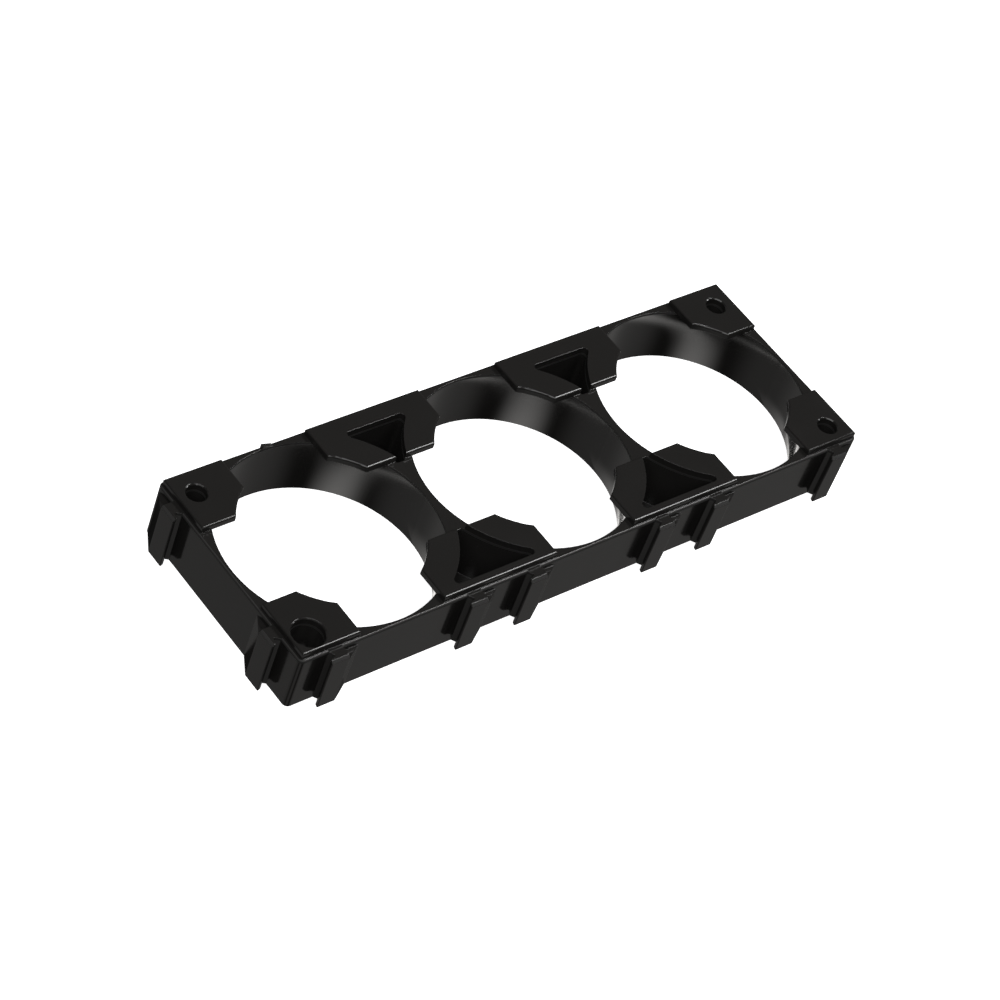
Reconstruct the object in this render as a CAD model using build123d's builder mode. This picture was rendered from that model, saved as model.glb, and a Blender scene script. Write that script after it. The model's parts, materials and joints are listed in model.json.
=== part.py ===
from build123d import *
import os

os.makedirs("parts", exist_ok=True)

# A row bracket for three round battery cells, moulded in one piece. Millimetres, +Z up.
# The origin is on the axis of the middle bore, at the underside. X runs along the row.

# Row of cells
cell_count = 3
bore_diameter = 32.5
bore_web = 1.1
bore_side_wall = 0.55
wall_height = 9.2
outer_corner_radius = 0.8
wall_edge_radius = 0.25

# Raised tabs that stop the cells, at the corners and between the bores
tab_thickness = 1.0
tab_ledge = 0.4
tab_reach = 9.8
tab_overhang = 3.25
tab_edge_radius = 0.25

# Three-sided pockets between neighbouring bores, cored from above and closed below
pocket_ring_wall = 1.15
pocket_front_wall = 1.6
pocket_back_wall = 3.2
pocket_tip_width = 1.5
pocket_corner_radius = 0.6
pocket_floor = 1.2

# Round holes in the corner tabs
screw_hole_diameter = 3.0
locating_hole_diameter = 4.7
hole_rim_chamfer = 0.15
hole_inset_left = 3.2
hole_inset_front = 3.2
hole_inset_right = 3.7
hole_inset_back = 4.2

# Hooked rails on the front and left walls
hook_width = 5.2
hook_depth = 1.75
hook_face_end = 2.35
hook_neck_inset = 0.6
hook_neck_depth = 0.85
hook_lip_overhang = 0.35
hook_lip_depth = 1.15
hook_tip_overhang = 0.55
hook_edge_radius = 0.12
hook_root = 0.5
hook_lead = 0.35
hook_brace_drop = 1.0
near_hook_offset = 4.45
far_hook_margin = 0.7

# Slots in the back and right walls take the hooks of the next bracket
slot_clearance = 0.1

# Trimmed stub of the moulding gate, on the back wall of the first cell
gate_offset = 0.8
gate_length = 1.8
gate_height = 0.6

# Sizes that follow
cell_pitch = bore_diameter + bore_web
row_depth = bore_diameter + 2 * bore_side_wall
row_length = cell_count * cell_pitch
total_height = wall_height + tab_thickness
tab_opening_radius = bore_diameter / 2 - tab_overhang
pocket_radius = bore_diameter / 2 + pocket_ring_wall
pocket_tip_y = (pocket_radius**2 - (cell_pitch / 2 - pocket_tip_width / 2) ** 2) ** 0.5
left_wall_x = -row_length / 2
right_wall_x = row_length / 2
front_wall_y = -row_depth / 2
back_wall_y = row_depth / 2
first_cell_x = left_wall_x + cell_pitch / 2


# Places of the corner holes, on top of the tabs
locating_spots = [(left_wall_x + hole_inset_left, front_wall_y + hole_inset_front, total_height)]
screw_spots = [
    (right_wall_x - hole_inset_right, front_wall_y + hole_inset_front, total_height),
    (left_wall_x + hole_inset_left, back_wall_y - hole_inset_back, total_height),
    (right_wall_x - hole_inset_right, back_wall_y - hole_inset_back, total_height),
]


def hook_offsets(wall_span):
    """Start of the near and far hook, measured along a stretch of wall one cell long."""
    return near_hook_offset, wall_span - far_hook_margin - hook_width


def front_hook_spots(wall_y):
    """Root points of the hooks of every cell, along a wall that runs in X."""
    cell_starts = [left_wall_x + cell * cell_pitch for cell in range(cell_count)]
    return [(start + offset, wall_y) for start in cell_starts for offset in hook_offsets(cell_pitch)]


def side_hook_spots(wall_x):
    """Root points of the two hooks along a wall that runs in Y."""
    return [(wall_x, front_wall_y + offset) for offset in hook_offsets(row_depth)]


# Section of a hook: the wall face is Y = 0, the hook stands out along -Y, its undercut faces -X.
with BuildSketch() as hook_section:
    with BuildLine():
        Polyline(
            (0, hook_root),
            (0, 0),
            (hook_neck_inset, -hook_neck_depth),
            (-hook_lip_overhang, -hook_lip_depth),
            (-hook_tip_overhang, -hook_depth),
            (hook_face_end, -hook_depth),
            (hook_width, 0),
            (hook_width, hook_root),
            close=True,
        )
    make_face()
    fillet(hook_section.vertices().filter_by_position(Axis.Y, -hook_depth, -hook_neck_depth), hook_edge_radius)

with BuildSketch() as slot_section:
    add(hook_section.sketch)
    offset(amount=slot_clearance)

# The hook without the brace that slants from its face back to the wall
with BuildSketch() as hook_core_section:
    add(hook_section.sketch)
    with Locations((hook_face_end, 0)):
        Rectangle(hook_width, 2 * hook_width, align=(Align.MIN, Align.CENTER), mode=Mode.SUBTRACT)

# Rail of one hook, with its top edge eased so that the next bracket drops over it. The brace stops lower.
with BuildPart() as front_rail:
    extrude(hook_section.sketch, amount=wall_height - hook_brace_drop)
    extrude(hook_core_section.sketch, amount=wall_height)
    lead_plane = Plane(origin=(0, -hook_depth, wall_height - hook_lead), z_dir=(0, -1, 1))
    split(bisect_by=lead_plane, keep=Keep.BOTTOM)

with BuildPart() as front_slot:
    extrude(slot_section.sketch, amount=wall_height)

# The rails and slots of the end walls are the same forms, turned over the diagonal.
diagonal = Plane(origin=(0, 0, 0), x_dir=(0, 0, 1), z_dir=(1, -1, 0))
side_rail = mirror(front_rail.part, about=diagonal)
side_slot = mirror(front_slot.part, about=diagonal)

with BuildSketch(Plane.XY.offset(wall_height)) as tab_outline:
    Rectangle(row_length - 2 * tab_ledge, row_depth - 2 * tab_ledge)
    with GridLocations(cell_pitch, 0, cell_count, 1):
        Rectangle(cell_pitch - 2 * tab_reach, row_depth, mode=Mode.SUBTRACT)
        Circle(tab_opening_radius, mode=Mode.SUBTRACT)
    Rectangle(row_length, row_depth - 2 * tab_reach, mode=Mode.SUBTRACT)

# Tab plates with eased top edges
with BuildPart() as tab_plates:
    extrude(tab_outline.sketch, amount=tab_thickness)
    fillet(tab_plates.faces().group_by(Axis.Z)[-1].edges(), tab_edge_radius)

with BuildSketch(Plane.XY.offset(pocket_floor)) as pocket_outline:
    with Locations((0, -pocket_tip_y)):
        with GridLocations(cell_pitch, 0, cell_count - 1, 1):
            front_length = row_depth / 2 - pocket_front_wall - pocket_tip_y
            Rectangle(cell_pitch, front_length, align=(Align.CENTER, Align.MAX))
    with Locations((0, pocket_tip_y)):
        with GridLocations(cell_pitch, 0, cell_count - 1, 1):
            back_length = row_depth / 2 - pocket_back_wall - pocket_tip_y
            Rectangle(cell_pitch, back_length, align=(Align.CENTER, Align.MIN))
    with GridLocations(cell_pitch, 0, cell_count, 1):
        Circle(pocket_radius, mode=Mode.SUBTRACT)
    fillet(pocket_outline.vertices(), pocket_corner_radius)

with BuildPart() as cell_bracket:
    # Block with rounded corners and an eased top edge
    with BuildSketch():
        RectangleRounded(row_length, row_depth, outer_corner_radius)
    extrude(amount=wall_height)
    fillet(cell_bracket.faces().sort_by(Axis.Z)[-1].edges(), wall_edge_radius)

    # Raised tabs, which overhang the bores
    add(tab_plates.part)

    # Cell bores, open below and stopped above by the tabs
    with BuildSketch():
        with GridLocations(cell_pitch, 0, cell_count, 1):
            Circle(bore_diameter / 2)
    extrude(amount=wall_height, mode=Mode.SUBTRACT)

    # Pockets between the bores
    extrude(pocket_outline.sketch, amount=total_height, mode=Mode.SUBTRACT)

    # Corner holes with eased rims: a locating hole at the front left, screw holes at the other corners
    for hole_diameter, hole_spots in (
        (locating_hole_diameter, locating_spots),
        (screw_hole_diameter, screw_spots),
    ):
        with Locations(*hole_spots):
            CounterSinkHole(hole_diameter / 2, hole_diameter / 2 + hole_rim_chamfer)

    # Slots first, then the hooks, so that a slot never trims a hook
    with Locations(*front_hook_spots(back_wall_y)):
        add(front_slot.part, mode=Mode.SUBTRACT)
    with Locations(*side_hook_spots(right_wall_x)):
        add(side_slot, mode=Mode.SUBTRACT)
    with Locations(*front_hook_spots(front_wall_y)):
        add(front_rail.part)
    with Locations(*side_hook_spots(left_wall_x)):
        add(side_rail)

    # Gate stub, highest at its left end
    with BuildSketch(Plane.XZ.offset(-back_wall_y)):
        with BuildLine():
            gate_x = first_cell_x + gate_offset - gate_length / 2
            Polyline(
                (gate_x, wall_height - bore_side_wall),
                (gate_x, wall_height + gate_height),
                (gate_x + gate_length, wall_height),
                (gate_x + gate_length, wall_height - bore_side_wall),
                close=True,
            )
        make_face()
    extrude(amount=bore_side_wall)

cell_bracket.part.label = "cell_bracket"
export_step(cell_bracket.part, "parts/cell_bracket.step")
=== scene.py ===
import json
import math

import bpy
from mathutils import Matrix, Vector


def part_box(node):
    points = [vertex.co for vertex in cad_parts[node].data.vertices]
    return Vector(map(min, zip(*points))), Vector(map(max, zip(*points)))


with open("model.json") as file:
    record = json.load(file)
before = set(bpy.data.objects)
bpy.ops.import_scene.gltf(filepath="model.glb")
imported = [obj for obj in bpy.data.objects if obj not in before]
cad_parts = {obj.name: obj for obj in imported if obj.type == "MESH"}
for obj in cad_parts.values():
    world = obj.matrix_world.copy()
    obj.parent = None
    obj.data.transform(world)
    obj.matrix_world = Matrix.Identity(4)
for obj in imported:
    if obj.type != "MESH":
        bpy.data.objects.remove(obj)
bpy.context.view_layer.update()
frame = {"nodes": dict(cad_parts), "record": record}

MM = 0.001

# Camera: it looks from the front left, above the bracket, at a point inside the middle bore.
CAMERA_AIM = Vector((-4.6, -2.2, 5.1)) * MM
CAMERA_AZIMUTH = math.radians(-143.05)
CAMERA_ELEVATION = math.radians(44.26)
CAMERA_ROLL = math.radians(21.75)
CAMERA_DISTANCE = 459.3 * MM
CAMERA_LENS = 119.7
CAMERA_SENSOR = 36.0
CAMERA_NEAR = 10 * MM

# Floor: it glows by itself, and the bracket neither mirrors it nor takes bounced light from it.
FLOOR_WIDTH = 6.0
FLOOR_COLOUR = (0.93, 0.93, 0.93, 1.0)
FLOOR_ROUGHNESS = 0.6
FLOOR_SPECULAR = 0.2
FLOOR_GLOW = 0.9

# Area lights: name, azimuth and elevation in degrees, distance from the origin, width and height
# in metres, power in watts, roll in degrees.
LIGHTS = [
    ("camera side light", -143, 62, 2.2, 2.6, 2.0, 40, 0),
    ("right strip light", -6, 55, 1.6, 0.75, 0.32, 12, 8),
    ("low right light", -27, 13, 1.6, 0.45, 0.22, 3, 0),
]

# Soft glows of the room: azimuth, elevation, reach and softness in degrees, strength. The first is
# even all round. A face that would mirror the floor mirrors the glows below the horizon instead.
WORLD_COLOUR = (1.0, 0.98, 0.955, 1.0)
WORLD_GLOWS = [
    (0, 90, 180, 0, 0.065),
    (0, 90, 80, 25, 0.025),
    (-37, -44, 24, 12, 0.22),
    (143, -44, 30, 12, 0.21),
    (-127, -44, 14, 6, 0.24),
    (100, -10, 34, 12, 0.13),
    (10, -10, 34, 12, 0.13),
]

# Light on the floor inside each bore, seen only in reflections and placed for this camera: fans
# that start at the foot of the wall, between two angles in degrees round the bore, with their
# strength. Each is brightest in its middle, and dims from row to row along its length.
FLOOR_FANS = [(28, 62, 1.75), (-60, -22, 1.3)]
FAN_STEPS = 16
FAN_LENGTH = 9.5 * MM
FAN_FADE = (1.0, 0.75, 0.3)
FAN_LIFT = 0.02 * MM

# Black plastic: noise scales are per metre. The roughness drifts over SMOOTH_ROUGHNESS as the flow
# noise goes over FLOW_RANGE.
BASE_COLOUR = (0.0165, 0.0158, 0.015, 1.0)
PLASTIC_IOR = 1.52
FLOW_SCALE = 120.0
FLOW_DETAIL = 3.0
FLOW_RANGE = (0.3, 0.7)
SMOOTH_ROUGHNESS = (0.09, 0.16)
GRAIN_SCALE = 260.0
GRAIN_DETAIL = 2.0
GRAIN_STRENGTH = 0.25
GRAIN_HEIGHT = 0.02 * MM
BEVEL_RADIUS = 0.12 * MM

# Satin band at the top of the walls, which end one tab's thickness below the highest point. Its
# heights are from there: where it starts, is full, starts to end, and has ended.
TAB_THICKNESS = 1.0 * MM
EDGE_ROUGHNESS = 0.75
EDGE_BAND = (-0.5 * MM, -0.3 * MM, -0.012 * MM, -0.004 * MM)


def direction(azimuth, elevation):
    """Unit vector from the origin towards this azimuth and elevation, in radians."""
    flat = math.cos(elevation)
    return Vector((flat * math.cos(azimuth), flat * math.sin(azimuth), math.sin(elevation)))


def facing(place, aim, roll):
    """Turn that points -Z from place to aim, rolled about that line."""
    turn = (aim - place).to_track_quat("-Z", "Y").to_matrix().to_4x4()
    return Matrix.Translation(place) @ turn @ Matrix.Rotation(roll, 4, "Z")


def make_camera():
    """Camera at the photograph's viewing angle."""
    data = bpy.data.cameras.new("Camera")
    data.lens = CAMERA_LENS
    data.sensor_width = CAMERA_SENSOR
    data.clip_start = CAMERA_NEAR
    camera = bpy.data.objects.new("Camera", data)
    place = CAMERA_AIM + direction(CAMERA_AZIMUTH, CAMERA_ELEVATION) * CAMERA_DISTANCE
    camera.matrix_world = facing(place, CAMERA_AIM, CAMERA_ROLL)
    bpy.context.scene.collection.objects.link(camera)
    bpy.context.scene.camera = camera


def make_softbox(name, azimuth, elevation, distance, width, height, power, roll):
    """Area light that faces the origin."""
    data = bpy.data.lights.new(name, "AREA")
    data.shape = "RECTANGLE"
    data.size = width
    data.size_y = height
    data.energy = power
    light = bpy.data.objects.new(name, data)
    place = direction(math.radians(azimuth), math.radians(elevation)) * distance
    light.matrix_world = facing(place, Vector((0.0, 0.0, 0.0)), math.radians(roll))
    bpy.context.scene.collection.objects.link(light)


def make_floor(lowest):
    """Pale floor at the bracket's underside."""
    mesh = bpy.data.meshes.new("floor")
    half = FLOOR_WIDTH / 2
    corners = [(-half, -half, lowest), (half, -half, lowest), (half, half, lowest), (-half, half, lowest)]
    mesh.from_pydata(corners, [], [(0, 1, 2, 3)])
    floor = bpy.data.objects.new("floor", mesh)
    bpy.context.scene.collection.objects.link(floor)
    material = bpy.data.materials.new("pale floor")
    material.use_nodes = True
    shader = material.node_tree.nodes["Principled BSDF"]
    shader.inputs["Base Color"].default_value = FLOOR_COLOUR
    shader.inputs["Roughness"].default_value = FLOOR_ROUGHNESS
    shader.inputs["Specular IOR Level"].default_value = FLOOR_SPECULAR
    shader.inputs["Emission Color"].default_value = FLOOR_COLOUR
    shader.inputs["Emission Strength"].default_value = FLOOR_GLOW
    material.cycles.emission_sampling = "NONE"
    mesh.materials.append(material)
    floor.visible_glossy = False
    floor.visible_diffuse = False
    floor.visible_shadow = False


def add_step(tree, value, start, end, low, high):
    """Value mapped from start..end to low..high, smooth at both ends."""
    step = tree.nodes.new("ShaderNodeMapRange")
    step.interpolation_type = "SMOOTHSTEP"
    step.inputs["From Min"].default_value = start
    step.inputs["From Max"].default_value = end
    step.inputs["To Min"].default_value = low
    step.inputs["To Max"].default_value = high
    tree.links.new(value, step.inputs["Value"])
    return step.outputs["Result"]


def add_math(tree, operation, first, second):
    """Result of a math operation on two values."""
    node = tree.nodes.new("ShaderNodeMath")
    node.operation = operation
    tree.links.new(first, node.inputs[0])
    tree.links.new(second, node.inputs[1])
    return node.outputs["Value"]


def add_glow(tree, place, azimuth, elevation, reach, softness, strength):
    """Strength of one soft glow in the direction of place."""
    dot = tree.nodes.new("ShaderNodeVectorMath")
    dot.operation = "DOT_PRODUCT"
    dot.inputs[1].default_value = direction(math.radians(azimuth), math.radians(elevation))
    tree.links.new(place, dot.inputs[0])
    dark = math.cos(math.radians(reach + softness))
    full = math.cos(math.radians(max(reach - softness, 0)))
    return add_step(tree, dot.outputs["Value"], dark, full, 0.0, strength)


def make_world():
    """World that adds up the soft glows."""
    world = bpy.data.worlds.new("studio")
    bpy.context.scene.world = world
    world.use_nodes = True
    tree = world.node_tree
    place = tree.nodes.new("ShaderNodeTexCoord").outputs["Generated"]
    total, *others = [add_glow(tree, place, *glow) for glow in WORLD_GLOWS]
    for glow in others:
        total = add_math(tree, "ADD", total, glow)
    background = tree.nodes["Background"]
    background.inputs["Color"].default_value = WORLD_COLOUR
    tree.links.new(total, background.inputs["Strength"])


def make_floor_fan(name, centre, radius, start, end, material):
    """One fan of floor light, along the camera's line of sight as the bore wall mirrors it."""
    points, strengths, faces = [], [], []
    for step in range(FAN_STEPS + 1):
        share = step / FAN_STEPS
        angle = math.radians(start + (end - start) * share)
        foot = direction(angle, 0) * radius + centre
        ray = direction(2 * angle - CAMERA_AZIMUTH, 0) * FAN_LENGTH
        for row, fade in enumerate(FAN_FADE):
            points.append(foot + ray * row / (len(FAN_FADE) - 1))
            strengths.append(fade * math.sin(math.pi * share) ** 2)
    rows = len(FAN_FADE)
    for step in range(FAN_STEPS):
        for row in range(rows - 1):
            first = step * rows + row
            faces.append((first, first + 1, first + rows + 1, first + rows))
    mesh = bpy.data.meshes.new(name)
    mesh.from_pydata(points, [], faces)
    glow = mesh.attributes.new("glow", "FLOAT", "POINT")
    glow.data.foreach_set("value", strengths)
    mesh.materials.append(material)
    fan = bpy.data.objects.new(name, mesh)
    fan.visible_camera = False
    fan.visible_diffuse = False
    fan.visible_shadow = False
    bpy.context.scene.collection.objects.link(fan)


def make_fan_material(strength):
    """Clear film that glows as strongly as its mesh says, times strength."""
    material = bpy.data.materials.new("light on the floor")
    material.use_nodes = True
    tree = material.node_tree
    tree.nodes.remove(tree.nodes["Principled BSDF"])
    level = tree.nodes.new("ShaderNodeAttribute")
    level.attribute_name = "glow"
    scale = tree.nodes.new("ShaderNodeMath")
    scale.operation = "MULTIPLY"
    scale.inputs[1].default_value = strength
    light = tree.nodes.new("ShaderNodeEmission")
    light.inputs["Color"].default_value = WORLD_COLOUR
    clear = tree.nodes.new("ShaderNodeBsdfTransparent")
    both = tree.nodes.new("ShaderNodeAddShader")
    tree.links.new(level.outputs["Fac"], scale.inputs[0])
    tree.links.new(scale.outputs["Value"], light.inputs["Strength"])
    tree.links.new(light.outputs["Emission"], both.inputs[0])
    tree.links.new(clear.outputs["BSDF"], both.inputs[1])
    tree.links.new(both.outputs["Shader"], tree.nodes["Material Output"].inputs["Surface"])
    material.cycles.emission_sampling = "NONE"
    return material


def make_floor_light(lowest):
    """Every fan, in every bore that the record states."""
    bores = [mount for mount in frame["record"]["mounts"] if mount["kind"] == "bore"]
    for number, (start, end, strength) in enumerate(FLOOR_FANS):
        material = make_fan_material(strength)
        for cell, bore in enumerate(bores):
            name = "floor light %d %d" % (number, cell)
            centre = Vector((bore["pos_m"][0], bore["pos_m"][1], lowest + FAN_LIFT))
            make_floor_fan(name, centre, bore["dims"]["r_mm"] * MM, start, end, material)


def add_noise(tree, place, scale, detail):
    """Noise over the object's own coordinates."""
    noise = tree.nodes.new("ShaderNodeTexNoise")
    noise.inputs["Scale"].default_value = scale
    noise.inputs["Detail"].default_value = detail
    tree.links.new(place, noise.inputs["Vector"])
    return noise.outputs["Fac"]


def add_roughness(tree, place, wall_top):
    """Roughness that drifts over the smooth range, and is satin at the top of the walls."""
    flow = add_noise(tree, place, FLOW_SCALE, FLOW_DETAIL)
    split = tree.nodes.new("ShaderNodeSeparateXYZ")
    tree.links.new(place, split.inputs["Vector"])
    height = split.outputs["Z"]
    start, full, still_full, end = (wall_top + offset for offset in EDGE_BAND)
    rise = add_step(tree, height, start, full, 0.0, 1.0)
    fall = add_step(tree, height, still_full, end, 1.0, 0.0)
    rough = tree.nodes.new("ShaderNodeMix")
    rough.inputs["B"].default_value = EDGE_ROUGHNESS
    tree.links.new(add_math(tree, "MULTIPLY", rise, fall), rough.inputs["Factor"])
    tree.links.new(add_step(tree, flow, *FLOW_RANGE, *SMOOTH_ROUGHNESS), rough.inputs["A"])
    return rough.outputs["Result"]


def add_relief(tree, place):
    """Normal that rounds off sharp edges and has the fine unevenness of a moulded face."""
    bevel = tree.nodes.new("ShaderNodeBevel")
    bevel.inputs["Radius"].default_value = BEVEL_RADIUS
    bump = tree.nodes.new("ShaderNodeBump")
    bump.inputs["Strength"].default_value = GRAIN_STRENGTH
    bump.inputs["Distance"].default_value = GRAIN_HEIGHT
    tree.links.new(add_noise(tree, place, GRAIN_SCALE, GRAIN_DETAIL), bump.inputs["Height"])
    tree.links.new(bevel.outputs["Normal"], bump.inputs["Normal"])
    return bump.outputs["Normal"]


def make_black_plastic(wall_top):
    """Glossy black ABS, satin along the moulded top edge of the walls."""
    material = bpy.data.materials.new("black ABS")
    material.use_nodes = True
    tree = material.node_tree
    shader = tree.nodes["Principled BSDF"]
    shader.inputs["Base Color"].default_value = BASE_COLOUR
    shader.inputs["IOR"].default_value = PLASTIC_IOR
    place = tree.nodes.new("ShaderNodeTexCoord").outputs["Object"]
    tree.links.new(add_roughness(tree, place, wall_top), shader.inputs["Roughness"])
    tree.links.new(add_relief(tree, place), shader.inputs["Normal"])
    return material


low_corner, high_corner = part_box("cell_bracket")
plastic = make_black_plastic(high_corner[2] - TAB_THICKNESS)
bracket = frame["nodes"]["cell_bracket"]
bracket.data.materials.clear()
bracket.data.materials.append(plastic)

make_floor(low_corner[2])
make_floor_light(low_corner[2])
make_world()
for light in LIGHTS:
    make_softbox(*light)
make_camera()
bpy.context.scene.view_settings.view_transform = "Standard"
